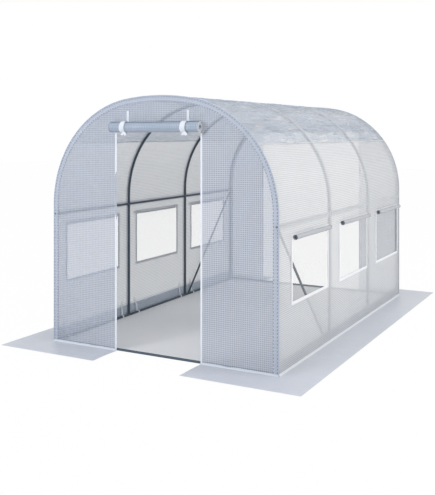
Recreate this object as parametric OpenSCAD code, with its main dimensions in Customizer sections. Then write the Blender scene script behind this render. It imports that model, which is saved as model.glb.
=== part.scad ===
// Walk-in tunnel greenhouse: steel hoops, film cover, rolled-up doors and netted windows.
// X is across the tunnel, Y runs along it, Z is up. The front gable is at -Y.

/* [Tunnel] */
// Width over the side film
tunnel_w = 2040; // [1800:10:2400]
// Length over the gable films
tunnel_l = 3020; // [2400:10:4000]
// Height over the roof film
tunnel_h = 2000; // [1850:10:2300]
// Radius of the shoulder bend at the film
shoulder_r = 860; // [700:10:900]
// Radius of the flatter crown at the film
crown_r = 1900; // [1500:10:2600]
// Angle above the shoulder's start where roof film meets side film
seam_bend = 36; // [25:1:50]

/* [Frame] */
// Diameter of the hoop tube
hoop_d = 22; // [18:1:28]
// Diameter of the rails and braces
rail_d = 19; // [16:1:25]
// Number of bays between hoops
bays = 3; // [2:1:4]
// Height of the middle rail's centre
mid_rail_h = 1050; // [900:10:1080]
// Distance of a brace's end from the hoop it leans on
brace_end = 34; // [25:1:60]

/* [Film] */
// Thickness of the cover film
film_t = 3; // [2:0.5:5]
// Thickness of tapes, nets and straps
tape_t = 1.5; // [1:0.5:3]
// Width of the skirt on the ground
skirt_w = 295; // [200:5:400]
// Thickness of the skirt and the ground sheet
skirt_t = 2; // [1:0.5:4]

/* [Doors] */
// Width of the front doorway
front_door_w = 765; // [650:5:900]
// Width of the back doorway
back_door_w = 1155; // [800:5:1300]
// Film left above a doorway, down from the crown
door_header = 200; // [150:5:300]
// Width of the tape on a doorway's edges
door_tape_w = 15; // [10:1:30]
// Diameter of the rolled-up door film
door_roll_d = 88; // [60:2:110]
// Length of roll past the doorway on each side
door_roll_over = 22; // [5:1:60]
// Drop of the roll's centre below the doorway's top
door_roll_drop = 40; // [20:1:70]
// Distance of a roll strap from the doorway's middle
strap_reach = 275; // [200:5:340]
// Width of a roll strap
strap_w = 22; // [15:1:40]
// Height of the strap's tab above the roll's centre
strap_tab = 125; // [80:5:150]

/* [Windows] */
// Width of a window
window_w = 700; // [500:10:800]
// Height of a window
window_h = 470; // [350:10:550]
// Height of the window sills
sill_h = 480; // [400:10:520]
// Shift of the right windows towards the back of their bay
right_window_shift = 75; // [0:5:90]
// Width of the hem round a window
window_tape_w = 22; // [10:1:40]
// Diameter of the rolled-up window flap
window_roll_d = 42; // [30:1:60]

/* [Base ties] */
// Height where a tie leaves the film
tie_h = 130; // [90:5:180]
// Width of a tie
tie_w = 18; // [10:1:30]
// Distance of a tie from its hoop
tie_reach = 110; // [70:5:200]

/* [Hidden] */
$fn = 96;

// Clearance between separate pieces
fit = 0.3;
// Extra length that makes a cut pass right through
past = 20;
// Angle step of the gable's outline
step = 3;
// Facets a full turn on the long bends
bend_fn = 288;

half_w = tunnel_w / 2;
half_l = tunnel_l / 2;
radius_gap = crown_r - shoulder_r;
shoulder_x = half_w - shoulder_r;
bend = acos(shoulder_x / radius_gap);
spring_h = tunnel_h - crown_r + radius_gap * sin(bend);
crown_z = tunnel_h - crown_r;

// Hoops stand just inside the film
hoop_inset = film_t + fit + hoop_d / 2;
leg_x = half_w - hoop_inset;
arch_y = half_l - hoop_inset;
bay_l = 2 * arch_y / bays;
// Rails lie along the inner side of the hoops
rail_x = leg_x - hoop_d / 2 - fit - rail_d / 2;
ridge_z = tunnel_h - film_t - fit - hoop_d - fit - rail_d / 2;
rail_half_l = half_l - film_t - fit;
base_half_l = arch_y - rail_d / 2 - fit;
base_half_w = leg_x - hoop_d / 2 - fit;
side_half_l = half_l - film_t - fit;
fit_bend = fit / shoulder_r * 180 / PI;

door_top = tunnel_h - door_header;
roll_y = half_l + tape_t + 2 * fit + door_roll_d / 2;
roll_z = door_top - door_roll_drop;
window_roll_x = half_w + tape_t + 2 * fit + window_roll_d / 2;
window_roll_z = sill_h + window_h + window_tape_w - window_roll_d / 2;

function window_y(i, shift) = -arch_y + (i + 0.5) * bay_l + shift;

function outline_right() = concat(
    [[half_w, 0]],
    [for (i = [0 : step : floor(bend)]) [shoulder_x + shoulder_r * cos(i), spring_h + shoulder_r * sin(i)]],
    [for (i = [ceil(bend / step) * step : step : 90 - step / 2]) [crown_r * cos(i), crown_z + crown_r * sin(i)]],
    [[0, tunnel_h]]);
function outline_left() = [for (p = outline_right()) [-p[0], p[1]]];
function turned(list) = [for (i = [len(list) - 2 : -1 : 0]) list[i]];

// Right half of a bent strip whose section is the child, measured inwards from the film
module half_bent(from) {
    intersection() {
        translate([shoulder_x, 0, spring_h]) rotate([90, 0, 0]) rotate([0, 0, bend]) union() {
            rotate_extrude(angle = bend - from, start = from - bend, $fn = bend_fn) translate([shoulder_r, 0]) children();
            translate([-radius_gap, 0, 0]) rotate_extrude(angle = 90 - bend + 1, start = 0, $fn = bend_fn) translate([crown_r, 0]) children();
        }
        translate([0, -tunnel_l, 0]) cube([tunnel_w, 2 * tunnel_l, 2 * tunnel_h]);
    }
}

module bent(from) {
    union() {
        half_bent(from) children();
        mirror([1, 0, 0]) half_bent(from) children();
    }
}

module arch_hoop(y) {
    color("lightsteelblue") translate([0, y, 0]) bent(fit_bend) translate([-hoop_inset, 0]) circle(d = hoop_d);
}

module arch_legs(y) {
    color("lightsteelblue") for (s = [-1, 1]) translate([s * leg_x, y, 0]) cylinder(d = hoop_d, h = spring_h - fit);
}

module front_arch_legs() { arch_legs(-arch_y); }
module second_arch_legs() { arch_legs(-arch_y + bay_l); }
module third_arch_legs() { arch_legs(arch_y - bay_l); }
module back_arch_legs() { arch_legs(arch_y); }
module front_arch_hoop() { arch_hoop(-arch_y); }
module second_arch_hoop() { arch_hoop(-arch_y + bay_l); }
module third_arch_hoop() { arch_hoop(arch_y - bay_l); }
module back_arch_hoop() { arch_hoop(arch_y); }

module rail_along(x, z, half) {
    color("slategray") translate([x, -half, z]) rotate([-90, 0, 0]) cylinder(d = rail_d, h = 2 * half);
}

module left_rail() { rail_along(-rail_x, mid_rail_h, rail_half_l); }
module right_rail() { rail_along(rail_x, mid_rail_h, rail_half_l); }
module ridge_rail() { rail_along(0, ridge_z, rail_half_l); }
module left_base_rail() { rail_along(-rail_x, rail_d / 2, base_half_l); }
module right_base_rail() { rail_along(rail_x, rail_d / 2, base_half_l); }

module base_rail_across(y) {
    color("slategray") translate([-base_half_w, y, rail_d / 2]) rotate([0, 90, 0]) cylinder(d = rail_d, h = 2 * base_half_w);
}

module front_base_rail() { base_rail_across(-arch_y); }
module back_base_rail() { base_rail_across(arch_y); }

// A brace leans across one bay, from the top at one hoop to the foot at the next
module brace(x, y_top, y_foot) {
    low = rail_d + fit;
    high = mid_rail_h - rail_d / 2 - fit;
    lean = atan2(y_foot - y_top, high - low);
    reach = norm([y_foot - y_top, high - low]);
    color("slategray") intersection() {
        translate([x, y_top, high]) rotate([180 + lean, 0, 0]) translate([0, 0, -2 * rail_d]) cylinder(d = rail_d, h = reach + 4 * rail_d);
        translate([x - rail_d, -half_l, low]) cube([2 * rail_d, tunnel_l, high - low]);
    }
}

module right_front_brace() { brace(rail_x, -arch_y + brace_end, -arch_y + bay_l - brace_end); }
module left_back_brace() { brace(-rail_x, arch_y - brace_end, arch_y - bay_l + brace_end); }

module roof_cover() {
    color("lightblue") bent(seam_bend + fit_bend) translate([-film_t, -side_half_l]) square([film_t, 2 * side_half_l]);
}

module shoulder() {
    color("aliceblue") translate([shoulder_x, 0, spring_h]) rotate([90, 0, 0])
        rotate_extrude(angle = seam_bend - fit_bend, start = fit_bend, $fn = bend_fn) translate([shoulder_r - film_t, -side_half_l]) square([film_t, 2 * side_half_l]);
}

module right_shoulder() { shoulder(); }
module left_shoulder() { mirror([1, 0, 0]) shoulder(); }

module wall(shift) {
    color("aliceblue") difference() {
        translate([half_w - film_t, -side_half_l, 0]) cube([film_t, 2 * side_half_l, spring_h - fit]);
        for (i = [0 : bays - 1]) translate([half_w - film_t - past, window_y(i, shift) - window_w / 2, sill_h]) cube([film_t + 2 * past, window_w, window_h]);
    }
}

module right_wall() { wall(right_window_shift); }
module left_wall() { mirror([1, 0, 0]) wall(0); }

// One side of a gable, up to the doorway's top
module gable_side(s, door_w) {
    intersection() {
        polygon(concat([[0, 0]], [for (p = outline_right()) [s * p[0], p[1]]]));
        translate([s > 0 ? door_w / 2 : -half_w - past, -past]) square([half_w + past - door_w / 2, door_top - fit + past]);
    }
}

module gable_top() {
    intersection() {
        polygon(concat(outline_right(), turned(outline_left())));
        translate([-half_w, door_top]) square([tunnel_w, door_header + past]);
    }
}

// Stands a flat outline up as film; the front's outer face is at -half_l
module front_film() { color("lightsteelblue") translate([0, -half_l + film_t, 0]) rotate([90, 0, 0]) linear_extrude(film_t) children(); }
module back_film() { color("aliceblue") translate([0, half_l, 0]) rotate([90, 0, 0]) linear_extrude(film_t) children(); }

module front_gable_left() { front_film() gable_side(-1, front_door_w); }
module front_gable_right() { front_film() gable_side(1, front_door_w); }
module front_gable_top() { front_film() gable_top(); }
module back_gable_left() { back_film() gable_side(-1, back_door_w); }
module back_gable_right() { back_film() gable_side(1, back_door_w); }
module back_gable_top() { back_film() gable_top(); }

// Tape on the outer face beside a doorway, up to the roll
module door_edging(s, door_w) {
    top = roll_z - door_roll_d / 2 - 2 * fit;
    color("white") for (x = [-door_w / 2 - door_tape_w, door_w / 2])
        translate([x, s > 0 ? half_l + fit : -half_l - fit - tape_t, skirt_t + fit]) cube([door_tape_w, tape_t, top - skirt_t - fit]);
}

module front_door_edging() { door_edging(-1, front_door_w); }
module back_door_edging() { door_edging(1, back_door_w); }

module door_roll(s, door_w) {
    long = door_w + 2 * door_roll_over;
    color("lightblue") translate([-long / 2, s * roll_y, roll_z]) rotate([0, 90, 0]) cylinder(d = door_roll_d, h = long);
}

module front_door_roll() { door_roll(-1, front_door_w); }
module back_door_roll() { door_roll(1, back_door_w); }

// A strap goes round the roll and up to its tab on the gable
module roll_straps(s) {
    r_in = door_roll_d / 2 + fit;
    r_out = r_in + tape_t;
    color("white") for (x = [-strap_reach, strap_reach])
        translate([x - strap_w / 2, s * (half_l + fit + r_out), roll_z]) rotate([90, 0, 90]) linear_extrude(strap_w) difference() {
            union() {
                circle(r = r_out);
                translate([s > 0 ? -r_out : r_in, 0]) square([tape_t, strap_tab]);
            }
            circle(r = r_in);
        }
}

module front_roll_straps() { roll_straps(-1); }
module back_roll_straps() { roll_straps(1); }

module window_nets(shift) {
    color("gainsboro") for (i = [0 : bays - 1]) translate([half_w - film_t, window_y(i, shift) - window_w / 2 + fit, sill_h + fit]) cube([tape_t, window_w - 2 * fit, window_h - 2 * fit]);
}

module right_window_nets() { window_nets(right_window_shift); }
module left_window_nets() { mirror([1, 0, 0]) window_nets(0); }

module window_edging(shift) {
    color("white") for (i = [0 : bays - 1]) translate([half_w + fit, window_y(i, shift) - window_w / 2, sill_h]) difference() {
        translate([0, -window_tape_w, -window_tape_w]) cube([tape_t, window_w + 2 * window_tape_w, window_h + 2 * window_tape_w]);
        translate([-past, 0, 0]) cube([tape_t + 2 * past, window_w, window_h]);
    }
}

module right_window_edging() { window_edging(right_window_shift); }
module left_window_edging() { mirror([1, 0, 0]) window_edging(0); }

module window_rolls(shift) {
    color("lightblue") for (i = [0 : bays - 1]) translate([window_roll_x, window_y(i, shift) - window_w / 2, window_roll_z]) rotate([-90, 0, 0]) cylinder(d = window_roll_d, h = window_w);
}

module right_window_rolls() { window_rolls(right_window_shift); }
module left_window_rolls() { mirror([1, 0, 0]) window_rolls(0); }

// Skirt beside the right wall, mitred at both corners
module side_skirt() {
    color("lightsteelblue") linear_extrude(skirt_t) polygon([
        [half_w + fit, -half_l], [half_w + skirt_w, -half_l - skirt_w + fit],
        [half_w + skirt_w, half_l + skirt_w - fit], [half_w + fit, half_l]]);
}

module right_skirt() { side_skirt(); }
module left_skirt() { mirror([1, 0, 0]) side_skirt(); }

// Skirt at a gable, in two pieces beside the doorway
module end_skirts(s, door_w) {
    color("lightsteelblue") for (m = [-1, 1]) linear_extrude(skirt_t) polygon([
        [m * door_w / 2, s * (half_l + fit)], [m * half_w, s * (half_l + fit)],
        [m * (half_w + skirt_w - fit), s * (half_l + skirt_w)], [m * door_w / 2, s * (half_l + skirt_w)]]);
}

module front_skirts() { end_skirts(-1, front_door_w); }
module back_skirts() { end_skirts(1, back_door_w); }

// Ties slope from the wall film down to the top of the base rail, on both sides of each hoop
module base_ties() {
    x_top = half_w - film_t - fit;
    z_low = rail_d + fit;
    lean = atan2(x_top - rail_x, tie_h - z_low);
    long = norm([x_top - rail_x, tie_h - z_low]);
    color("white") for (s = [-1, 1], i = [0 : bays], side = [-1, 1])
        if (abs(-arch_y + i * bay_l + side * tie_reach) < arch_y)
            translate([0, -arch_y + i * bay_l + side * tie_reach, 0]) mirror([s > 0 ? 0 : 1, 0, 0])
                translate([rail_x, -tie_w / 2, z_low]) rotate([0, lean, 0]) translate([-tape_t, 0, 0]) cube([tape_t, tie_w, long]);
}

module ground_sheet() {
    under_rail = sqrt(rail_d * skirt_t - skirt_t * skirt_t);
    inner_x = rail_x - under_rail - fit;
    inner_y = arch_y - under_rail - fit;
    color("silver") translate([-inner_x, -inner_y, 0]) cube([2 * inner_x, 2 * inner_y, skirt_t]);
}

front_arch_legs();
second_arch_legs();
third_arch_legs();
back_arch_legs();
front_arch_hoop();
second_arch_hoop();
third_arch_hoop();
back_arch_hoop();
left_rail();
right_rail();
ridge_rail();
left_base_rail();
right_base_rail();
front_base_rail();
back_base_rail();
right_front_brace();
left_back_brace();
roof_cover();
left_shoulder();
right_shoulder();
left_wall();
right_wall();
front_gable_left();
front_gable_right();
front_gable_top();
back_gable_left();
back_gable_right();
back_gable_top();
front_door_edging();
back_door_edging();
front_door_roll();
back_door_roll();
front_roll_straps();
back_roll_straps();
left_window_nets();
right_window_nets();
left_window_edging();
right_window_edging();
left_window_rolls();
right_window_rolls();
left_skirt();
right_skirt();
front_skirts();
back_skirts();
base_ties();
ground_sheet();
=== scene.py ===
import math
import bpy
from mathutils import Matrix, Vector, noise


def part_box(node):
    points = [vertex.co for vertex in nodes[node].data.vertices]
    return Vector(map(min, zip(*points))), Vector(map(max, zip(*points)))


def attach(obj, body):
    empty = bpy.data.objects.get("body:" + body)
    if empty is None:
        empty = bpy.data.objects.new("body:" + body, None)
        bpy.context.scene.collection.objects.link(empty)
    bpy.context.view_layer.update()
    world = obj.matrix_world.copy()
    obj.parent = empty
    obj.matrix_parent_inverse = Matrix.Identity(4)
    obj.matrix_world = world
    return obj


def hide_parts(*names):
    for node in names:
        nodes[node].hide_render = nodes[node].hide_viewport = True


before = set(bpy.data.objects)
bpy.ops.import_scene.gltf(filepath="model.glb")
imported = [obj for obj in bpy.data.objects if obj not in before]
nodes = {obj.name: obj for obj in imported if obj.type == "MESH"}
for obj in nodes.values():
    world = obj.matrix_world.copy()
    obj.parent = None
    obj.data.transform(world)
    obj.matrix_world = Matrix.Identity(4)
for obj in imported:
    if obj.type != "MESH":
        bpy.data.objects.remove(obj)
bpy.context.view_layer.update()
print("frame loaded:", len(nodes), "nodes")

# Sizes that the solids' boxes don't give, in metres
tunnel = {
    "shoulderRadius": 0.86,
    "crownRadius": 1.9,
    "seamBend": 36,  # degrees above the shoulder's start
    "bays": 3,
    "archInset": 0.0143,  # the end hoops' centres, in from the gables
}
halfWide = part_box("right_wall")[1].x
halfLong = -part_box("front_gable_left")[0].y
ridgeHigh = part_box("roof_cover")[1].z
crownZ = ridgeHigh - tunnel["crownRadius"]
archY = halfLong - tunnel["archInset"]
bayLong = 2 * archY / tunnel["bays"]
hoopRows = [-archY + i * bayLong for i in range(tunnel["bays"] + 1)]
shoulderX = halfWide - tunnel["shoulderRadius"]
radiusGap = tunnel["crownRadius"] - tunnel["shoulderRadius"]
bend = math.acos(shoulderX / radiusGap)
springHigh = crownZ + radiusGap * math.sin(bend)
shoulderLong = tunnel["shoulderRadius"] * bend
halfGirth = springHigh + shoulderLong + tunnel["crownRadius"] * (math.pi / 2 - bend)
whole = 2 * halfGirth
seamGirth = springHigh + tunnel["shoulderRadius"] * math.radians(tunnel["seamBend"])


# Point and outward normal on the film, girth metres up from the right-hand ground edge
def filmPoint(girth, inset=0.0):
    side = 1 if girth <= halfGirth else -1
    g = girth if side > 0 else whole - girth
    if g <= springHigh:
        return side * (halfWide - inset), g, side, 0.0
    if g <= springHigh + shoulderLong:
        radius, centreX, centreZ = tunnel["shoulderRadius"], shoulderX, springHigh
        angle = (g - springHigh) / radius
    else:
        radius, centreX, centreZ = tunnel["crownRadius"], 0.0, crownZ
        angle = bend + (g - springHigh - shoulderLong) / radius
    c, s = math.cos(angle), math.sin(angle)
    return side * (centreX + (radius - inset) * c), centreZ + (radius - inset) * s, side * c, s


# Half width of the gable's outline at a height, and its height at a distance from the middle
def outlineX(z):
    if z <= springHigh:
        return halfWide
    if z < springHigh + tunnel["shoulderRadius"] * math.sin(bend):
        return shoulderX + math.sqrt(max(0.0, tunnel["shoulderRadius"] ** 2 - (z - springHigh) ** 2))
    return math.sqrt(max(0.0, tunnel["crownRadius"] ** 2 - (z - crownZ) ** 2))


def outlineZ(x):
    x = abs(x)
    if x < shoulderX + tunnel["shoulderRadius"] * math.cos(bend):
        return crownZ + math.sqrt(tunnel["crownRadius"] ** 2 - x * x)
    return springHigh + math.sqrt(max(0.0, tunnel["shoulderRadius"] ** 2 - (x - shoulderX) ** 2))


# An sRGB hex value as the linear colour that shaders use
def hexColour(text, alpha=1.0):
    parts = [int(text[i:i + 2], 16) / 255 for i in (1, 3, 5)]
    return [c / 12.92 if c <= 0.04045 else ((c + 0.055) / 1.055) ** 2.4 for c in parts] + [alpha]


# Adds one node, sets its properties and sockets, and links sockets given as (socket, output)
def addNode(tree, kind, settings=None, sockets=None, links=None):
    node = tree.nodes.new(kind)
    for key, value in (settings or {}).items():
        setattr(node, key, value)
    for key, value in (sockets or {}).items():
        node.inputs[key].default_value = value
    for key, source in (links or {}).items():
        tree.links.new(source, node.inputs[key])
    return node


def newMaterial(name):
    material = bpy.data.materials.new(name)
    material.use_nodes = True
    material.node_tree.nodes.clear()
    return material, material.node_tree


def setOutput(tree, shader):
    addNode(tree, "ShaderNodeOutputMaterial", links={"Surface": shader})


# A mesh piece with one UV map measured in metres
def makePiece(name, points, faces, uvs, material, replaces=(), smooth=True):
    mesh = bpy.data.meshes.new(name)
    mesh.from_pydata(points, [], faces)
    if uvs:
        layer = mesh.uv_layers.new(name="metres")
        for loop in mesh.loops:
            layer.data[loop.index].uv = uvs[loop.vertex_index]
    mesh.materials.append(material)
    mesh.validate()
    mesh.polygons.foreach_set("use_smooth", [smooth] * len(mesh.polygons))
    piece = bpy.data.objects.new(name, mesh)
    bpy.context.scene.collection.objects.link(piece)
    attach(piece, "root")
    if replaces:
        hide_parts(*replaces)
    return piece


# Sorted grid lines through every break, no further apart than step
def gridLines(breaks, step):
    breaks, lines = sorted(set(breaks)), []
    for low, high in zip(breaks, breaks[1:]):
        count = max(1, math.ceil((high - low) / step))
        lines += [low + (high - low) * i / count for i in range(count)]
    return lines + [breaks[-1]]


# Faces of a grid of points that was added column by column from base
def gridFaces(base, columns, rows):
    corners = [base + i * (rows + 1) + j for i in range(columns) for j in range(rows)]
    return [(a, a + rows + 1, a + rows + 2, a + 1) for a in corners]


# A sheet from two sets of grid lines, where place gives each point and holes are left open
def makeSheet(name, uLines, vLines, place, material, holes=(), replaces=(), uvOf=None):
    index, points, uvs, faces = {}, [], [], []
    for i, u in enumerate(uLines):
        for j, v in enumerate(vLines):
            index[i, j] = len(points)
            points.append(place(u, v))
            uvs.append(uvOf(u, v) if uvOf else (u, v))
    for i in range(len(uLines) - 1):
        for j in range(len(vLines) - 1):
            u, v = (uLines[i] + uLines[i + 1]) / 2, (vLines[j] + vLines[j + 1]) / 2
            if not any(a < u < b and c < v < d for a, b, c, d in holes):
                faces.append((index[i, j], index[i + 1, j], index[i + 1, j + 1], index[i, j + 1]))
    used = sorted({k for face in faces for k in face})
    renumber = {k: n for n, k in enumerate(used)}
    return makePiece(name, [points[k] for k in used], [[renumber[k] for k in face] for face in faces],
                     [uvs[k] for k in used], material, replaces)


# Threads of a woven scrim as a 0 to 1 mask, from the UV map in metres
def threadGrid(tree, pitch, width, soft):
    uv = addNode(tree, "ShaderNodeUVMap", {"uv_map": "metres"})
    axes = addNode(tree, "ShaderNodeSeparateXYZ", links={"Vector": uv.outputs["UV"]})
    masks = []
    for axis in ("X", "Y"):
        near = addNode(tree, "ShaderNodeMath", {"operation": "PINGPONG"}, {1: pitch / 2},
                       {0: axes.outputs[axis]})
        masks.append(addNode(tree, "ShaderNodeMapRange", {"interpolation_type": "SMOOTHSTEP"},
                             {"From Min": width / 2 + soft, "From Max": width / 2 - soft},
                             {"Value": near.outputs[0]}))
    return uv, addNode(tree, "ShaderNodeMath", {"operation": "MAXIMUM"}, links={0: masks[0].outputs[0],
                                                                                1: masks[1].outputs[0]})


# Polyethylene film laminated over a woven scrim: milky, half clear, with whiter threads
def wovenFilm(name, spec):
    material, tree = newMaterial(name)
    uv, threads = threadGrid(tree, spec["threadPitch"], spec["threadWidth"], spec["threadWidth"] * 0.3)
    cloud = addNode(tree, "ShaderNodeTexNoise", sockets={"Scale": spec["cloudScale"], "Detail": 4.0,
                                                         "Roughness": 0.55},
                    links={"Vector": uv.outputs["UV"]})
    body = addNode(tree, "ShaderNodeMix", {"data_type": "RGBA"}, {6: hexColour(spec["filmDark"]),
                                                                  7: hexColour(spec["filmLight"])},
                   {0: cloud.outputs["Fac"]})
    colour = addNode(tree, "ShaderNodeMix", {"data_type": "RGBA"}, {7: hexColour(spec["thread"])},
                     {0: threads.outputs[0], 6: body.outputs[2]})
    if "ridgeTint" in spec:  # light skims the crown, so the film looks bluer there
        axes = addNode(tree, "ShaderNodeSeparateXYZ", links={"Vector": uv.outputs["UV"]})
        fromRidge = addNode(tree, "ShaderNodeMath", {"operation": "SUBTRACT"}, {1: halfGirth},
                            {0: axes.outputs["X"]})
        away = addNode(tree, "ShaderNodeMath", {"operation": "ABSOLUTE"}, links={0: fromRidge.outputs[0]})
        near = addNode(tree, "ShaderNodeMapRange", {"interpolation_type": "SMOOTHSTEP"},
                       {"From Min": spec["ridgeWide"], "From Max": spec["ridgeWide"] * 0.4},
                       {"Value": away.outputs[0]})
        colour = addNode(tree, "ShaderNodeMix", {"data_type": "RGBA"}, {7: hexColour(spec["ridgeTint"])},
                         {0: near.outputs[0], 6: colour.outputs[2]})
    stretchUv = addNode(tree, "ShaderNodeMapping", sockets={"Scale": spec["creaseScale"]},
                        links={"Vector": uv.outputs["UV"]})
    crease = addNode(tree, "ShaderNodeTexNoise", sockets={"Scale": 1.0, "Detail": spec["creaseDetail"],
                                                          "Roughness": 0.55, "Distortion": 0.9},
                     links={"Vector": stretchUv.outputs["Vector"]})
    offMiddle = addNode(tree, "ShaderNodeMath", {"operation": "SUBTRACT"}, {1: 0.5},
                        {0: crease.outputs["Fac"]})
    depth = addNode(tree, "ShaderNodeMath", {"operation": "ABSOLUTE"}, links={0: offMiddle.outputs[0]})
    patch = addNode(tree, "ShaderNodeMapRange", {"interpolation_type": "SMOOTHSTEP"},
                    {"From Min": 0.42, "From Max": 0.6, "To Max": spec["creaseWhiteAndHighlight"]},
                    {"Value": cloud.outputs["Fac"]})
    whitenedAndHighlit = addNode(tree, "ShaderNodeMapRange", {"interpolation_type": "SMOOTHSTEP"},
                   {"From Min": 0.05, "From Max": 0.0}, {"Value": depth.outputs[0],
                                                         "To Max": patch.outputs[0]})
    colour = addNode(tree, "ShaderNodeMix", {"data_type": "RGBA"}, {7: hexColour("#f6f8fa")},
                     {0: whitenedAndHighlit.outputs[0], 6: colour.outputs[2]})  # film whitens where it has been creased; the strong whitening on the roof is mostly painted highlight on the crease ridges
    relief = addNode(tree, "ShaderNodeMath", {"operation": "MULTIPLY_ADD"}, {1: 0.12},
                     {0: threads.outputs[0], 2: crease.outputs["Fac"]})
    bump = addNode(tree, "ShaderNodeBump", sockets={"Strength": spec["bump"], "Distance": spec["bumpDepth"]},
                   links={"Height": relief.outputs[0]})
    face = addNode(tree, "ShaderNodeBsdfPrincipled", sockets={"Roughness": spec["roughness"], "IOR": 1.51},
                   links={"Base Color": colour.outputs[2], "Normal": bump.outputs["Normal"]})
    glow = addNode(tree, "ShaderNodeBsdfTranslucent", links={"Color": colour.outputs[2],
                                                             "Normal": bump.outputs["Normal"]})
    lit = addNode(tree, "ShaderNodeMixShader", sockets={0: spec["translucent"]}, links={1: face.outputs[0],
                                                                                        2: glow.outputs[0]})
    solid = addNode(tree, "ShaderNodeMapRange", sockets={"To Min": spec["alpha"],
                                                         "To Max": spec["threadAlpha"]},
                    links={"Value": threads.outputs[0]})
    clear = addNode(tree, "ShaderNodeBsdfTransparent")
    shown = addNode(tree, "ShaderNodeMixShader", links={0: solid.outputs[0], 1: clear.outputs[0],
                                                        2: lit.outputs[0]})
    setOutput(tree, shown.outputs[0])
    return material


# The scrim's threads are 2 to 3 mm apart; drawn at 15 mm so that the weave shows
sideSpec = {
    "threadPitch": 0.015, "threadWidth": 0.0042, "cloudScale": 2.5,
    "filmDark": "#cfd2d5", "filmLight": "#d8dadc", "thread": "#e0e2e4",
    "creaseScale": (6.0, 1.8, 1.0), "creaseDetail": 3.0, "creaseWhiteAndHighlight": 0.08, "bump": 0.5, "bumpDepth": 0.02,
    "roughness": 0.34, "translucent": 0.3, "alpha": 0.68, "threadAlpha": 0.95,
}
# The roof's crease whitening is mostly painted highlight on the crinkles, with a little real stress whitening
roofSpec = {**sideSpec, "filmDark": "#cbd6e6", "filmLight": "#e9eef5", "thread": "#dbe3ee", "cloudScale": 4.0,
            "creaseScale": (13.0, 1.5, 1.0), "creaseDetail": 2.0, "creaseWhiteAndHighlight": 0.95, "bump": 1.0,
            "bumpDepth": 0.05, "roughness": 0.2, "alpha": 0.78, "translucent": 0.2, "ridgeTint": "#a6bdd8",
            "ridgeWide": 0.5}
# The gables use a darker, bluer copy of the cover film: painted shade for the ends, which face away from the key
# lamp
paintedShadeGableSpec = {**sideSpec, "filmDark": "#b6bcc8", "filmLight": "#bec4cf", "thread": "#cbd0da",
             "creaseScale": (5.0, 2.0, 1.0), "creaseWhiteAndHighlight": 0.03, "threadWidth": 0.003, "alpha": 0.55}
hemSpec = {**sideSpec, "threadPitch": 0.01, "threadWidth": 0.0035, "filmDark": "#bdc4cf",
           "filmLight": "#c9cfd8", "thread": "#e2e7ee", "alpha": 0.82, "threadAlpha": 1.0}
rollSpec = {**sideSpec, "filmDark": "#7c8b9e", "filmLight": "#a2b0bf", "thread": "#bcc7d3", "alpha": 0.95,
            "threadAlpha": 1.0, "translucent": 0.1, "roughness": 0.22}
flapSpec = {**rollSpec, "filmDark": "#9b9fa8", "filmLight": "#bfc2c8", "thread": "#c9ccd1"}
# Guard tape film is whiter than the cover; the whiteness is partly painted highlight of the tubes behind the film
guardTapeHighlightSpec = {**sideSpec, "filmDark": "#dde1e6", "filmLight": "#e4e7eb", "alpha": 0.68, "threadAlpha": 0.85}
skirtSpec = {**sideSpec, "filmDark": "#c1c6d0", "filmLight": "#cfd3db", "thread": "#d3d7de", "alpha": 0.92,
             "threadAlpha": 0.97, "translucent": 0.1, "threadWidth": 0.003, "bump": 0.2}

sideFilm = wovenFilm("sideFilm", sideSpec)
roofFilm = wovenFilm("creasedRoofFilm", roofSpec)
paintedShadeGableFilm = wovenFilm("paintedShadeGableFilm", paintedShadeGableSpec)
hemFilm = wovenFilm("doubledHemFilm", hemSpec)
rollFilm = wovenFilm("rolledDoorFilm", rollSpec)
flapFilm = wovenFilm("rolledFlapFilm", flapSpec)
footFilm = wovenFilm("footHemFilm", {**hemSpec, "filmDark": "#a3afbe", "filmLight": "#b3bdca",
                                     "thread": "#bfc8d3", "alpha": 0.7})
guardTapeHighlightFilm = wovenFilm("guardTapeFilmAndHighlight", guardTapeHighlightSpec)
skirtFilm = wovenFilm("skirtFilm", skirtSpec)


# Galvanised steel tube under a thin grey coat: dark, blue-grey, with a dull streaked sheen
def coatedTube():
    material, tree = newMaterial("galvanisedTube")
    coords = addNode(tree, "ShaderNodeTexCoord")
    mottle = addNode(tree, "ShaderNodeTexNoise", sockets={"Scale": 90.0, "Detail": 4.0},
                     links={"Vector": coords.outputs["Object"]})
    colour = addNode(tree, "ShaderNodeMix", {"data_type": "RGBA"}, {6: hexColour("#3c4753"),
                                                                    7: hexColour("#56636f")},
                     {0: mottle.outputs["Fac"]})
    rough = addNode(tree, "ShaderNodeMapRange", sockets={"To Min": 0.4, "To Max": 0.6},
                    links={"Value": mottle.outputs["Fac"]})
    bump = addNode(tree, "ShaderNodeBump", sockets={"Strength": 0.15, "Distance": 0.0005},
                   links={"Height": mottle.outputs["Fac"]})
    shader = addNode(tree, "ShaderNodeBsdfPrincipled", sockets={"Metallic": 0.15, "Specular IOR Level": 0.3},
                     links={"Base Color": colour.outputs[2], "Roughness": rough.outputs[0],
                            "Normal": bump.outputs["Normal"]})
    setOutput(tree, shader.outputs[0])
    return material


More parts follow.
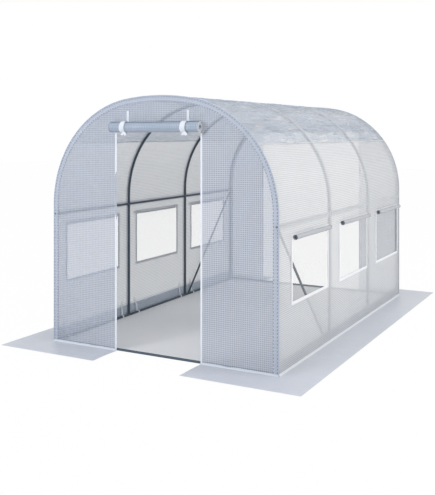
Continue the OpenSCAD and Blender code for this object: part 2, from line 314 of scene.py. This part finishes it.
# Woven polypropylene tape: bright white, matt, with a fine rib across it whose lighter bands are painted highlight
def whiteTape(name, hexValue, hexRibHighlight, ribMm):
    material, tree = newMaterial(name)
    coords = addNode(tree, "ShaderNodeTexCoord")
    rib = addNode(tree, "ShaderNodeTexWave", {"wave_type": "BANDS", "bands_direction": "Z"},
                  {"Scale": 1000 / ribMm / 2 / math.pi, "Distortion": 0.6, "Detail": 2.0},
                  {"Vector": coords.outputs["Object"]})
    # the rib's lighter colour is a painted highlight
    colour = addNode(tree, "ShaderNodeMix", {"data_type": "RGBA"}, {6: hexColour(hexValue),
                                                                    7: hexColour(hexRibHighlight)},
                     {0: rib.outputs["Fac"]})
    bump = addNode(tree, "ShaderNodeBump", sockets={"Strength": 0.3, "Distance": 0.0006},
                   links={"Height": rib.outputs["Fac"]})
    shader = addNode(tree, "ShaderNodeBsdfPrincipled", sockets={"Roughness": 0.6, "IOR": 1.49},
                     links={"Base Color": colour.outputs[2], "Normal": bump.outputs["Normal"]})
    setOutput(tree, shader.outputs[0])
    return material


netSpec = {"pitch": 0.006, "thread": 0.0012, "soft": 0.0006, "colour": "#dcdddd", "holeAlpha": 0.22,
           "threadAlpha": 0.3}


# Knitted polyethylene insect net, 1 mm mesh drawn at 6 mm: nearly clear, with a faint white veil
def insectNet():
    material, tree = newMaterial("insectNet")
    threads = threadGrid(tree, netSpec["pitch"], netSpec["thread"], netSpec["soft"])[1]
    face = addNode(tree, "ShaderNodeBsdfPrincipled", sockets={"Base Color": hexColour(netSpec["colour"]),
                                                              "Roughness": 0.7})
    glow = addNode(tree, "ShaderNodeBsdfTranslucent", sockets={"Color": hexColour(netSpec["colour"])})
    lit = addNode(tree, "ShaderNodeMixShader", sockets={0: 0.5}, links={1: face.outputs[0],
                                                                        2: glow.outputs[0]})
    solid = addNode(tree, "ShaderNodeMapRange", sockets={"To Min": netSpec["holeAlpha"],
                                                         "To Max": netSpec["threadAlpha"]},
                    links={"Value": threads.outputs[0]})
    clear = addNode(tree, "ShaderNodeBsdfTransparent")
    shown = addNode(tree, "ShaderNodeMixShader", links={0: solid.outputs[0], 1: clear.outputs[0],
                                                        2: lit.outputs[0]})
    setOutput(tree, shown.outputs[0])
    return material


# Calendered grey ground sheet: flat, matt, with faint cloudy wear; its colour is written near white, paler than the
# sheet's grey, as painted light that makes up for the shade under the film
def greySheet():
    material, tree = newMaterial("greyGroundSheet")
    coords = addNode(tree, "ShaderNodeTexCoord")
    cloud = addNode(tree, "ShaderNodeTexNoise", sockets={"Scale": 3.0, "Detail": 6.0},
                    links={"Vector": coords.outputs["Object"]})
    grain = addNode(tree, "ShaderNodeTexNoise", sockets={"Scale": 260.0, "Detail": 2.0},
                    links={"Vector": coords.outputs["Object"]})
    # painted light: near white instead of the sheet's grey, to offset the shade inside the tunnel
    colour = addNode(tree, "ShaderNodeMix", {"data_type": "RGBA"}, {6: hexColour("#ebeae7"),
                                                                    7: hexColour("#f0efed")},
                     {0: cloud.outputs["Fac"]})
    bump = addNode(tree, "ShaderNodeBump", sockets={"Strength": 0.2, "Distance": 0.001},
                   links={"Height": grain.outputs["Fac"]})
    shader = addNode(tree, "ShaderNodeBsdfPrincipled", sockets={"Roughness": 0.75},
                     links={"Base Color": colour.outputs[2], "Normal": bump.outputs["Normal"]})
    setOutput(tree, shader.outputs[0])
    return material


# Zinc-plated bolt steel: dark, bright on its edges
def boltSteel():
    material, tree = newMaterial("platedBolt")
    coords = addNode(tree, "ShaderNodeTexCoord")
    mottle = addNode(tree, "ShaderNodeTexNoise", sockets={"Scale": 400.0},
                     links={"Vector": coords.outputs["Object"]})
    rough = addNode(tree, "ShaderNodeMapRange", sockets={"To Min": 0.25, "To Max": 0.45},
                    links={"Value": mottle.outputs["Fac"]})
    shader = addNode(tree, "ShaderNodeBsdfPrincipled", sockets={"Base Color": hexColour("#5c6672"),
                                                                "Metallic": 0.8},
                     links={"Roughness": rough.outputs[0]})
    setOutput(tree, shader.outputs[0])
    return material


tubeSteel = coatedTube()
webbing = whiteTape("whiteWebbing", "#d5dade", "#e9ecef", 3)
hemTape = whiteTape("whiteHemTape", "#dde1e5", "#eff1f3", 4)
stitchThread = whiteTape("greyStitching", "#8794aa", "#9ca8ba", 2)
cutEdge = whiteTape("greyCutEdge", "#6a7079", "#868c95", 3)
pipingFilm = whiteTape("weldedPiping", "#a9b4c2", "#bcc5d1", 5)
weldFilm = whiteTape("weldedFilm", "#ccd1d7", "#dbdfe3", 6)
netCloth = insectNet()
groundGrey = greySheet()
bolts = boltSteel()
for n, node in nodes.items():
    if "arch" in n or "rail" in n or "brace" in n:
        chosen = tubeSteel
    elif n == "ground_sheet":
        chosen = groundGrey
    elif "edging" in n:
        chosen = hemTape
    else:
        continue
    for s in node.material_slots:
        s.material = chosen
print("materials made")


# How far the film lies outside its nominal surface: it is tight on the hoops and slack between them
def slack(girth, y, spec):
    part = (y + archY) / bayLong
    between = max(0.0, math.sin(math.pi * part % math.pi)) if 0 < part < tunnel["bays"] else 0.0
    p = Vector((girth / spec["across"], y / spec["along"], spec["seed"]))
    fold = noise.noise(p) + 0.5 * noise.noise(p * 2.1)
    ridge = (1 - abs(noise.noise(p * 1.6 + Vector((3.1, 7.7, 0))))) ** 4
    # The ridge rail holds the crown smoother
    calm = 1 - spec["ridgeCalm"] * math.exp(-((girth - halfGirth) / spec["ridgeReach"]) ** 2)
    return calm * between ** 0.6 * (spec["fold"] * fold
                                    + spec["ridge"] * (ridge - 0.4) - spec["sag"] * between)


coverSlack = {
    "side": {"across": 0.2, "along": 0.45, "seed": 1.0, "fold": 0.004, "ridge": 0.002, "sag": 0.003,
             "ridgeCalm": 0.0, "ridgeReach": 0.3},
    "roof": {"across": 0.07, "along": 0.26, "seed": 5.0, "fold": 0.009, "ridge": 0.013, "sag": 0.005,
             "ridgeCalm": 0.8, "ridgeReach": 0.3},
}
coverPlan = {"inset": 0.0008, "footCalm": 0.08, "edgeGap": 0.0005, "step": 0.02, "roofStep": 0.013}
windowPlan = {"sill": 0.48, "high": 0.47, "wide": 0.70, "rightShift": 0.075}


def windowCentres(shift):
    return [-archY + (i + 0.5) * bayLong + shift for i in range(tunnel["bays"])]


# Point on the slack cover, which lies calm at the ground
def coverPoint(girth, y, kind, inset=coverPlan["inset"], lift=0.0):
    x, z, nx, nz = filmPoint(girth, inset)
    out = slack(girth, y, coverSlack[kind]) * min(1.0, z / coverPlan["footCalm"]) + lift
    return x + nx * out, y, z + nz * out


def coverSheet(name, girthLow, girthHigh, step, kind, material, node, holes=()):
    uBreaks = [girthLow, girthHigh] + [h[k] for h in holes for k in (0, 1)]
    edge = halfLong - coverPlan["edgeGap"]
    vBreaks = [-edge, edge] + [h[k] for h in holes for k in (2, 3)] + hoopRows
    piece = makeSheet(name, gridLines(uBreaks, step), gridLines(vBreaks, step), lambda girth,
                      y: coverPoint(girth, y, kind), material, holes, [node])


def windowHoles(side):
    holes = []
    for y in windowCentres(windowPlan["rightShift"] if side > 0 else 0.0):
        low, high = windowPlan["sill"], windowPlan["sill"] + windowPlan["high"]
        if side < 0:
            low, high = whole - high, whole - low
        holes.append((low, high, y - windowPlan["wide"] / 2, y + windowPlan["wide"] / 2))
    return holes


coverSheet("right_wall_film", 0.001, springHigh, coverPlan["step"], "side", sideFilm,
           "right_wall", windowHoles(1))
coverSheet("left_wall_film", whole - springHigh, whole - 0.001, coverPlan["step"], "side", sideFilm,
           "left_wall", windowHoles(-1))
coverSheet("right_shoulder_film", springHigh, seamGirth, coverPlan["step"], "side", sideFilm,
           "right_shoulder")
coverSheet("left_shoulder_film", whole - seamGirth, whole - springHigh, coverPlan["step"], "side", sideFilm,
           "left_shoulder")
coverSheet("roof_film", seamGirth, whole - seamGirth, coverPlan["roofStep"], "roof", roofFilm,
           "roof_cover")

# Guard tapes: a second strip of film where the cover rubs on the inner hoops and the rails, drawn whiter than the
# cover partly as a painted highlight along the tubes seen through the film
guard = {"wide": 0.042, "lift": 0.0014, "step": 0.011, "endGap": 0.02}


def guardTape(name, uLines, vLines):
    def place(girth, y):
        kind = "roof" if seamGirth < girth < whole - seamGirth else "side"
        return coverPoint(girth, y, kind, lift=guard["lift"])

    makeSheet(name, uLines, vLines, place, guardTapeHighlightFilm)


hoopGirths = gridLines([guard["endGap"], springHigh, seamGirth, whole - seamGirth, whole - springHigh,
                        whole - guard["endGap"]], coverPlan["step"])
for i in range(1, tunnel["bays"]):
    y = hoopRows[i]
    guardTape(f"hoop_guard_tape_{i}", hoopGirths, gridLines([y - guard["wide"] / 2, y, y + guard["wide"] / 2],
                                                            guard["step"]))
railHigh = (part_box("right_rail")[0].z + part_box("right_rail")[1].z) / 2
for side, word in ((1, "right"), (-1, "left")):
    g = railHigh if side > 0 else whole - railHigh
    guardTape(f"{word}_rail_guard_tape", gridLines([g - guard["wide"] / 2, g, g + guard["wide"] / 2],
                                                   guard["step"]),
              gridLines([-halfLong + 0.01, halfLong - 0.01], 0.03))
print("cover film made")


gable = {"doorHigh": 1.8, "frontDoor": 0.765, "backDoor": 1.155, "inset": 0.0008, "edgeGap": 0.001,
         "step": 0.02, "fold": 0.003, "foldWide": 0.11, "foldHigh": 0.7, "calmRim": 0.12, "hemWide": 0.045}


# Film of one gable panel, with soft upright folds that stay outside the hoop
def gablePanel(name, face, door, kind, node):
    seed = 11.0 if face < 0 else 17.0

    def place(x, z):
        fromRim = outlineX(z) - abs(x) if z < springHigh else outlineZ(x) - z
        rim = min(1.0, fromRim / gable["calmRim"])
        p = Vector((x / gable["foldWide"], z / gable["foldHigh"], seed))
        out = gable["fold"] * (0.5 + noise.noise(p) + 0.4 * noise.noise(p * 2.3)) * max(0.0, rim)
        return x, face * (halfLong - gable["inset"] + out), z

    if kind == "top":
        reach = outlineX(gable["doorHigh"]) - gable["edgeGap"]
        uLines = gridLines([-reach, 0.0, reach], gable["step"])
        rows = [i / 12 for i in range(13)]
        spot = lambda u, v: (u, gable["doorHigh"] + v * (outlineZ(u) - gable["doorHigh"]))
    else:
        side = -1 if kind == "left" else 1
        uLines = [i / 32 for i in range(33)]
        rows = gridLines([gable["edgeGap"], springHigh, gable["doorHigh"]], gable["step"])
        spot = lambda u, v: (side * (door / 2 + u * (outlineX(v) - door / 2)), v)
    piece = makeSheet(name, uLines, rows, lambda u, v: place(*spot(u, v)), paintedShadeGableFilm,
                      replaces=[node], uvOf=spot)


for face, end, door in ((-1, "front", gable["frontDoor"]), (1, "back", gable["backDoor"])):
    for kind in ("left", "right", "top"):
        gablePanel(f"{end}_gable_{kind}_film", face, door, kind, f"{end}_gable_{kind}")


rim = {"footGap": 0.004, "step": 0.03, "bandEdge": 0.002, "bandLift": 0.0022, "piping": 0.0035,
       "pipingOut": 0.0005}
rimGirths = gridLines([rim["footGap"], springHigh, halfGirth, whole - springHigh, whole - rim["footGap"]],
                      rim["step"])


# A flat band that follows the arch on a gable, as wide as its hem
def rimBand(name, face):
    def place(g, inset):
        x, z = filmPoint(g, inset)[:2]
        return x, face * (halfLong + rim["bandLift"]), z

    makeSheet(name, rimGirths, gridLines([rim["bandEdge"], gable["hemWide"]], 0.012), place, hemFilm)


stitch = {"long": 0.013, "pitch": 0.025, "wide": 0.006, "proud": 0.001, "lift": 0.0026, "footGap": 0.02}


# Short raised stitches along a row, inset from the arch's edge
def stitchRow(name, face, inset):
    points, faces = [], []
    g = stitch["footGap"]
    while g < whole - stitch["footGap"]:
        for end in (g, g + stitch["long"]):
            x, z, nx, nz = filmPoint(end, inset)
            for across in (-1, 1):
                for out in (0.0, stitch["proud"]):
                    points.append((x + nx * across * stitch["wide"] / 2,
                                   face * (halfLong + stitch["lift"] + out),
                                   z + nz * across * stitch["wide"] / 2))
        b = len(points) - 8
        faces += [(b, b + 1, b + 3, b + 2), (b + 4, b + 6, b + 7, b + 5), (b, b + 4, b + 5, b + 1),
                  (b + 2, b + 3, b + 7, b + 6), (b + 1, b + 5, b + 7, b + 3), (b, b + 2, b + 6, b + 4)]
        g += stitch["pitch"]
    makePiece(name, points, faces, None, stitchThread, smooth=False)


# A round cord of welded film along the edge where gable and cover meet
def edgePiping(name, face):
    curve = bpy.data.curves.new(name, "CURVE")
    curve.dimensions = "3D"
    curve.bevel_depth, curve.bevel_resolution = rim["piping"], 3
    spline = curve.splines.new("POLY")
    spline.points.add(len(rimGirths) - 1)
    for point, g in zip(spline.points, rimGirths):
        x, z = filmPoint(g)[:2]
        point.co = (x, face * (halfLong + rim["pipingOut"]), z, 1)
    curve.materials.append(pipingFilm)
    piece = bpy.data.objects.new(name, curve)
    bpy.context.scene.collection.objects.link(piece)
    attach(piece, "root")


for face, end in ((-1, "front"), (1, "back")):
    rimBand(f"{end}_rim_band", face)
    stitchRow(f"{end}_rim_inner_stitching", face, gable["hemWide"] - 0.004)
    stitchRow(f"{end}_rim_outer_stitching", face, 0.009)
    edgePiping(f"{end}_edge_piping", face)
print("gables made")


winding = {"start": 2.2, "stepsPerTurn": 30, "wave": 0.0012, "crook": 0.002, "skew": 0.003,
           "pinchWide": 0.022, "pinchDeep": 0.05, "endGap": 0.008, "endProud": 0.0035, "edgeShare": 0.36}


# Point beside a roll's centre, along it and across it, for a roll along X or Y
def rollPoint(axis, centre, at, a, b):
    if axis == "X":
        return centre[0] + at, centre[1] + a, centre[2] + b
    return centre[0] + a, centre[1] + at, centre[2] + b


# A sheet wound into a roll, pinched under its straps
def filmRoll(name, axis, centre, long, roll, seed, film, replaces):
    outer, core = roll["radius"], roll["core"]
    turns = (outer - core) / roll["turnGap"]
    total = 2 * math.pi * turns
    steps = int(turns * winding["stepsPerTurn"])

    def place(u, v):
        angle = total * u
        at = (v - 0.5) * long
        pinch = sum(math.exp(-((at - c) / winding["pinchWide"]) ** 2) for c in roll["straps"])
        wave = winding["wave"] * noise.noise(Vector((math.cos(angle) * 1.5, math.sin(angle) * 1.5 + seed,
                                                     at * 7)))
        r = (core + (outer - core) * u) * (1 - winding["pinchDeep"] * pinch) + wave * u
        crook = winding["crook"] * math.sin(at * 5 + seed) * u
        a, b = r * math.cos(angle + winding["start"]), r * math.sin(angle + winding["start"]) - crook
        skew = winding["skew"] * math.sin(angle * 0.35 + seed)
        return rollPoint(axis, centre, at + skew, a, b)

    spiral = math.pi * (outer + core) * turns
    piece = makeSheet(name, [i / steps for i in range(steps + 1)],
                      [i / roll["strips"] for i in range(roll["strips"] + 1)], place, film,
                      replaces=replaces, uvOf=lambda u, v: (u * u * spiral, v * long))


# The film's cut edge on both ends of a roll, as a flat spiral
def rollEnds(name, axis, centre, long, roll, material):
    outer, core = roll["radius"] - roll["endTrim"], roll["core"]
    turns = (outer - core) / roll["turnGap"]
    steps = int(turns * winding["stepsPerTurn"])
    points, faces = [], []
    for end in (-1, 1):
        base = len(points)
        for i in range(steps + 1):
            u = i / steps
            angle = 2 * math.pi * turns * u + winding["start"]
            for edge in (-winding["edgeShare"], winding["edgeShare"]):
                r = core + (outer - core) * u + edge * roll["turnGap"]
                at = end * (long / 2 + winding["endProud"])
                points.append(rollPoint(axis, centre, at, r * math.cos(angle), r * math.sin(angle)))
        corners = [base + 2 * i for i in range(steps)]
        faces += [(c, c + 1, c + 3, c + 2) for c in corners]
    makePiece(name, points, faces, None, material, smooth=False)


doorRoll = {"radius": 0.0425, "core": 0.012, "turnGap": 0.0034, "straps": (-0.275, 0.275), "strips": 48,
            "endTrim": 0.002}
for end, seed in (("front", 2.0), ("back", 4.0)):
    low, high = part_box(f"{end}_door_roll")
    centre, long = (low + high) / 2, high.x - low.x - winding["endGap"]
    filmRoll(f"{end}_door_rolled_film", "X", centre, long, doorRoll, seed, rollFilm,
             [f"{end}_door_roll"])
    rollEnds(f"{end}_door_roll_ends", "X", centre, long, doorRoll, hemTape)

windowRoll = {"radius": 0.0195, "core": 0.006, "turnGap": 0.0026, "straps": (), "strips": 24,
              "endTrim": 0.001}
for side, word in ((1, "right"), (-1, "left")):
    low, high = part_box(f"{word}_window_rolls")
    long = windowPlan["wide"] - winding["endGap"]
    for k, y in enumerate(windowCentres(windowPlan["rightShift"] if side > 0 else 0.0)):
        centre = Vector(((low.x + high.x) / 2, y, (low.z + high.z) / 2))
        filmRoll(f"{word}_window_rolled_film_{k + 1}", "Y", centre, long, windowRoll, 6.0 + k, flapFilm,
                 [f"{word}_window_rolls"] if k == 0 else ())
        rollEnds(f"{word}_window_roll_ends_{k + 1}", "Y", centre, long, windowRoll, cutEdge)
print("rolls made")


# A flat strip of webbing through points, each with the direction that its width runs in
def webStrip(name, strips, wide, thick, material, replaces=()):
    points, faces = [], []
    for path, across in strips:
        base = len(points)
        path = [Vector(p) for p in path]
        across = Vector(across).normalized()
        for i, p in enumerate(path):
            ahead = (path[min(i + 1, len(path) - 1)] - path[max(i - 1, 0)]).normalized()
            up = ahead.cross(across).normalized()
            for a, b in ((-1, -1), (1, -1), (1, 1), (-1, 1)):
                points.append(p + across * a * wide / 2 + up * b * thick / 2)
        for i in range(len(path) - 1):
            here, ahead = base + 4 * i, base + 4 * i + 4
            faces += [(here + k, here + (k + 1) % 4, ahead + (k + 1) % 4, ahead + k) for k in range(4)]
        last = base + 4 * (len(path) - 1)
        faces += [(base + 3, base + 2, base + 1, base), (last, last + 1, last + 2, last + 3)]
    makePiece(name, points, faces, None, material, replaces, smooth=False)


strap = {"wide": 0.022, "thick": 0.0014, "rise": (0.03, 0.07, 0.125), "tail": 0.045, "tailLeans": (-0.35, 0.5),
         "folds": ((-0.011, 0.06), (0.0, -0.05), (0.012, 0.03)),  # the tie bunches into three: shift along, lean
         "wallOut": 0.003, "rollShare": 0.955}
for face, end in ((-1, "front"), (1, "back")):
    low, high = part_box(f"{end}_door_roll")
    centre, strips = (low + high) / 2, []
    ringRadius = doorRoll["radius"] * strap["rollShare"] + strap["thick"]
    for x in doorRoll["straps"]:
        ring = [(x + 0.001 * math.sin(3 * a), centre.y + ringRadius * math.cos(a),
                 centre.z + ringRadius * math.sin(a)) for a in [2 * math.pi * k / 40 for k in range(41)]]
        for shiftX, lean in strap["folds"]:
            grow = 1 + abs(shiftX) * 4
            strips.append(([(px + shiftX + lean * (pz - centre.z), centre.y + (py - centre.y) * grow,
                             centre.z + (pz - centre.z) * grow) for px, py, pz in ring], (1, 0, 0)))
        wall = face * (halfLong + strap["wallOut"])
        strips.append(([(x, wall, centre.z + rise) for rise in strap["rise"]], (1, 0, 0)))
        for lean in strap["tailLeans"]:
            tail = [(x + 0.004 + lean * t * strap["tail"], centre.y + face * (ringRadius * 0.35 + 0.003
                                                                              + 0.004 * t),
                     centre.z - ringRadius * 0.92 - t * strap["tail"] * 0.55) for t in (0.0, 0.35, 0.7, 1.0)]
            strips.append((tail, (1, 0, lean)))
    webStrip(f"{end}_roll_webbing", strips, strap["wide"], strap["thick"], webbing,
             [f"{end}_roll_straps"])

tie = {"wide": 0.018, "thick": 0.0012, "reach": 0.11, "high": 0.13, "bow": 0.006, "railGap": 0.0015}
railLow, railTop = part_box("right_base_rail")
railX, railRadius = (railLow.x + railTop.x) / 2, (railTop.z - railLow.z) / 2
tieRadius = railRadius + tie["railGap"]
strips = []
for side in (-1, 1):
    for hoopY in hoopRows:
        for step in (-1, 1):
            y = hoopY + step * tie["reach"]
            if abs(y) < archY:
                bow = tie["bow"] * math.sin(5 * y + side)
                path = [(side * (halfWide - 0.005), y - 0.012 * step, tie["high"] + 0.012),
                        (side * (halfWide - 0.008), y - 0.008 * step, tie["high"] - 0.01),
                        (side * (halfWide - 0.018 + bow), y, 0.085),
                        (side * (railX + 0.012), y + 0.006 * step, 0.045)]
                for k in range(9):
                    a = math.pi * (0.15 + 1.1 * k / 8)
                    path.append((side * (railX + tieRadius * math.cos(a)), y + (0.006 + 0.0015 * k) * step,
                                 railRadius + tieRadius * math.sin(a) * (1 if a < math.pi else 0.8)))
                strips.append((path, (0, 1, 0)))
webStrip("base_tie_webbing", strips, tie["wide"], tie["thick"], webbing, ["base_ties"])

net = {"cells": 12, "belly": 0.004, "inset": 0.002}
for side, word in ((1, "right"), (-1, "left")):
    points, faces, cells = [], [], net["cells"]
    for y in windowCentres(windowPlan["rightShift"] if side > 0 else 0.0):
        faces += gridFaces(len(points), cells, cells)
        for across, up in [(i / cells, j / cells) for i in range(cells + 1) for j in range(cells + 1)]:
            belly = net["belly"] * math.sin(math.pi * across) * math.sin(math.pi * up)
            points.append((side * (halfWide - net["inset"] - belly), y + (across - 0.5) * windowPlan["wide"],
                           windowPlan["sill"] + up * windowPlan["high"]))
    uvs = [point[1:] for point in points]
    piece = makePiece(f"{word}_window_netting", points, faces, uvs, netCloth,
                      [f"{word}_window_nets"])
print("straps, ties and nets made")


skirt = {"wide": 0.295, "lift": 0.0012, "wave": 0.0035, "rows": 12, "sideColumns": 90, "endColumns": 24}


def skirtHeight(x, y, out):
    swell = 0.5 + 0.5 * noise.noise(Vector((x * 2.3, y * 2.3, 21.0)))
    return skirt["lift"] + skirt["wave"] * swell * math.sin(math.pi * min(1.0, out / skirt["wide"])) ** 2


def skirtSide(name, side, node):
    def place(y, t):
        out = t * skirt["wide"]
        reach = halfLong + out
        x, yy = side * (halfWide + out), y * reach
        return x, yy, skirtHeight(x, yy, out)

    columns, rows = skirt["sideColumns"], skirt["rows"]
    piece = makeSheet(name, [i / columns * 2 - 1 for i in range(columns + 1)],
                      [i / rows for i in range(rows + 1)], place, skirtFilm, replaces=[node],
                      uvOf=lambda y, t: (y * (halfLong + t * skirt["wide"]), t * skirt["wide"]))


def skirtEnd(name, face, door, node):
    points, faces, uvs = [], [], []
    for side in (-1, 1):
        columns, rows = skirt["endColumns"], skirt["rows"]
        faces += gridFaces(len(points), columns, rows)
        for i in range(columns + 1):
            for j in range(rows + 1):
                out = j / rows * skirt["wide"]
                x = side * (door / 2 + i / columns * (halfWide + out - door / 2))
                y = face * (halfLong + out)
                points.append((x, y, skirtHeight(x, y, out)))
                uvs.append((x, out))
    piece = makePiece(name, points, faces, uvs, skirtFilm, [node])


skirtSide("right_skirt_film", 1, "right_skirt")
skirtSide("left_skirt_film", -1, "left_skirt")
skirtEnd("front_skirt_film", -1, gable["frontDoor"], "front_skirts")
skirtEnd("back_skirt_film", 1, gable["backDoor"], "back_skirts")

# Doubled film hem inside the foot of each long wall
footHem = {"low": 0.003, "high": 0.095, "inset": 0.0024, "endGap": 0.01, "stepLong": 0.04, "stepHigh": 0.02}
for side, word in ((1, "right"), (-1, "left")):
    makeSheet(f"{word}_foot_hem", gridLines([-halfLong + footHem["endGap"], halfLong - footHem["endGap"]],
                                            footHem["stepLong"]), gridLines([footHem["low"], footHem["high"]],
                                                                            footHem["stepHigh"]), lambda y,
              z: coverPoint(z if side > 0 else whole - z, y, "side", footHem["inset"]), footFilm)

# Welded strips: at the foot of the walls and along the roof seams
weld = {"wide": 0.018, "thick": 0.0008, "out": 0.004, "high": 0.0095, "step": 0.1, "seamShare": 0.5,
        "seamOut": 0.0012}
longRows = gridLines([-halfLong, halfLong], weld["step"])
footStrips = []
for side in (-1, 1):
    footStrips.append(([(side * (halfWide + weld["out"]), y, weld["high"]) for y in longRows],
                       (-side * 0.5, 0, 1)))
for face, door in ((-1, gable["frontDoor"]), (1, gable["backDoor"])):
    for side in (-1, 1):
        footStrips.append(([(side * x, face * (halfLong + weld["out"]), weld["high"])
                            for x in gridLines([door / 2, halfWide], weld["step"])], (0, -face * 0.5, 1)))
webStrip("foot_weld", footStrips, weld["wide"], weld["thick"], weldFilm)
seamStrips = []
for g in (seamGirth, whole - seamGirth):
    x, z, nx, nz = filmPoint(g, -weld["seamOut"])
    seamStrips.append(([(x, y, z) for y in longRows], (-nz, 0, nx)))
webStrip("roof_seam_weld", seamStrips, weld["wide"] * weld["seamShare"], weld["thick"], sideFilm)
print("skirt and welds made")


bolt = {"radius": 0.006, "frontRadius": 0.0075, "high": 0.005, "sides": 16, "seat": 0.0004, "footPull": 0.993,
        "rings": ((1.0, 0.0), (1.0, 0.35), (0.82, 0.75), (0.45, 1.0))}  # share of the radius, share of the height


# Domed bolt heads where rails cross the hoops, and on the front legs
def boltHeads(name, places):
    points, faces, sides = [], [], bolt["sides"]
    for centre, direction, radius in places:
        d = Vector(direction).normalized()
        a = d.orthogonal().normalized()
        b = d.cross(a)
        base = len(points)
        for share, up in bolt["rings"]:
            for k in range(sides):
                t = 2 * math.pi * k / sides
                points.append(Vector(centre) + (a * math.cos(t) + b * math.sin(t)) * radius * share
                              + d * bolt["high"] * up)
        for r in range(len(bolt["rings"]) - 1):
            low, top = base + r * sides, base + (r + 1) * sides
            faces += [(low + k, low + (k + 1) % sides, top + (k + 1) % sides, top + k) for k in range(sides)]
        faces.append([base + (len(bolt["rings"]) - 1) * sides + k for k in range(sides)])
        faces.append([base + k for k in reversed(range(sides))])
    makePiece(name, points, faces, None, bolts)


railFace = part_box("right_rail")[0].x + bolt["seat"]
places = []
for y in hoopRows:
    for side in (-1, 1):
        places.append(((side * railFace, y, railHigh), (-side, 0, 0), bolt["radius"]))
        places.append(((side * railFace, y * bolt["footPull"], railRadius + 0.001), (-side, 0, 0),
                       bolt["radius"]))
    places.append(((0, y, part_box("ridge_rail")[0].z + bolt["seat"]), (0, 0, -1), bolt["radius"]))
for side in (-1, 1):
    places.append(((side * (halfWide - tunnel["archInset"]), -halfLong - 0.002, railHigh), (0, -1, 0),
                   bolt["frontRadius"]))
boltHeads("frame_bolts", places)
print("bolts made")


stageSpec = {"floorAcross": 60.0, "floorZ": -0.002, "cameraWhite": 0.98, "floorColour": "#f2f2f2",
             "skyColour": "#eef1f6", "skyStrength": 0.66}


# 1 where a ray comes from the camera, a mirror or glass
def plainSight(tree):
    path = addNode(tree, "ShaderNodeLightPath")
    both = addNode(tree, "ShaderNodeMath", {"operation": "MAXIMUM"},
                   links={0: path.outputs["Is Camera Ray"], 1: path.outputs["Is Glossy Ray"]})
    return addNode(tree, "ShaderNodeMath", {"operation": "MAXIMUM"}, links={0: both.outputs[0],
                                                                            1: path.outputs["Is Transmission Ray"]})


material, tree = newMaterial("paleFloor")
matt = addNode(tree, "ShaderNodeBsdfDiffuse", sockets={"Color": hexColour(stageSpec["floorColour"])})
white = addNode(tree, "ShaderNodeEmission", sockets={"Strength": 1.0})
share = addNode(tree, "ShaderNodeMath", {"operation": "MULTIPLY"}, {1: stageSpec["cameraWhite"]},
                {0: plainSight(tree).outputs[0]})
setOutput(tree, addNode(tree, "ShaderNodeMixShader", links={0: share.outputs[0], 1: matt.outputs[0],
                                                            2: white.outputs[0]}).outputs[0])
mesh = bpy.data.meshes.new("floor")
corners = [(x * stageSpec["floorAcross"] / 2, y * stageSpec["floorAcross"] / 2, stageSpec["floorZ"])
           for x, y in ((-1, -1), (1, -1), (1, 1), (-1, 1))]
mesh.from_pydata(corners, [], [(0, 1, 2, 3)])
mesh.materials.append(material)
floor = bpy.data.objects.new("floor", mesh)
bpy.context.scene.collection.objects.link(floor)

world = bpy.data.worlds.new("studio")
bpy.context.scene.world = world
world.use_nodes = True
tree = world.node_tree
tree.nodes.clear()
sky = addNode(tree, "ShaderNodeBackground", sockets={"Color": hexColour(stageSpec["skyColour"]),
                                                     "Strength": stageSpec["skyStrength"]})
plain = addNode(tree, "ShaderNodeBackground", sockets={"Color": hexColour("#ffffff"), "Strength": 1.0})
addNode(tree, "ShaderNodeOutputWorld", links={"Surface": addNode(
    tree, "ShaderNodeMixShader", links={0: plainSight(tree).outputs[0], 1: sky.outputs[0], 2: plain.outputs[0]}).outputs[0]})


def softLamp(name, spot, aim, size, power, hexValue):
    data = bpy.data.lights.new(name, "AREA")
    data.shape, data.size, data.energy, data.color = "SQUARE", size, power, hexColour(hexValue)[:3]
    lamp = bpy.data.objects.new(name, data)
    lamp.location = spot
    lamp.rotation_euler = (Vector(aim) - Vector(spot)).to_track_quat("-Z", "Y").to_euler()
    bpy.context.scene.collection.objects.link(lamp)


softLamp("keyFromRight", (7.5, -0.2, 4.0), (0, 0, 0.9), 3.0, 272, "#fffaf4")
softLamp("fillFromFront", (-3.0, -8.5, 4.0), (0, 0, 0.9), 4.0, 330, "#f0f4ff")
softLamp("panelOverhead", (1.0, -1.0, 7.0), (0, 0, 1.9), 3.0, 75, "#f2f6ff")

cameraSpec = {"place": (3.2495, -6.319, 1.7078), "turn": 27.056, "sensor": 36, "lens": 54.89,
              "shift": (-0.0657, -0.2299)}
data = bpy.data.cameras.new("camera")
data.sensor_width = cameraSpec["sensor"]
data.lens = cameraSpec["lens"]
data.shift_x, data.shift_y = cameraSpec["shift"]
camera = bpy.data.objects.new("camera", data)
camera.location = cameraSpec["place"]
camera.rotation_euler = (math.pi / 2, 0, math.radians(cameraSpec["turn"]))
bpy.context.scene.collection.objects.link(camera)
bpy.context.scene.camera = camera
bpy.context.scene.view_settings.view_transform = "Standard"

print("scene ready")
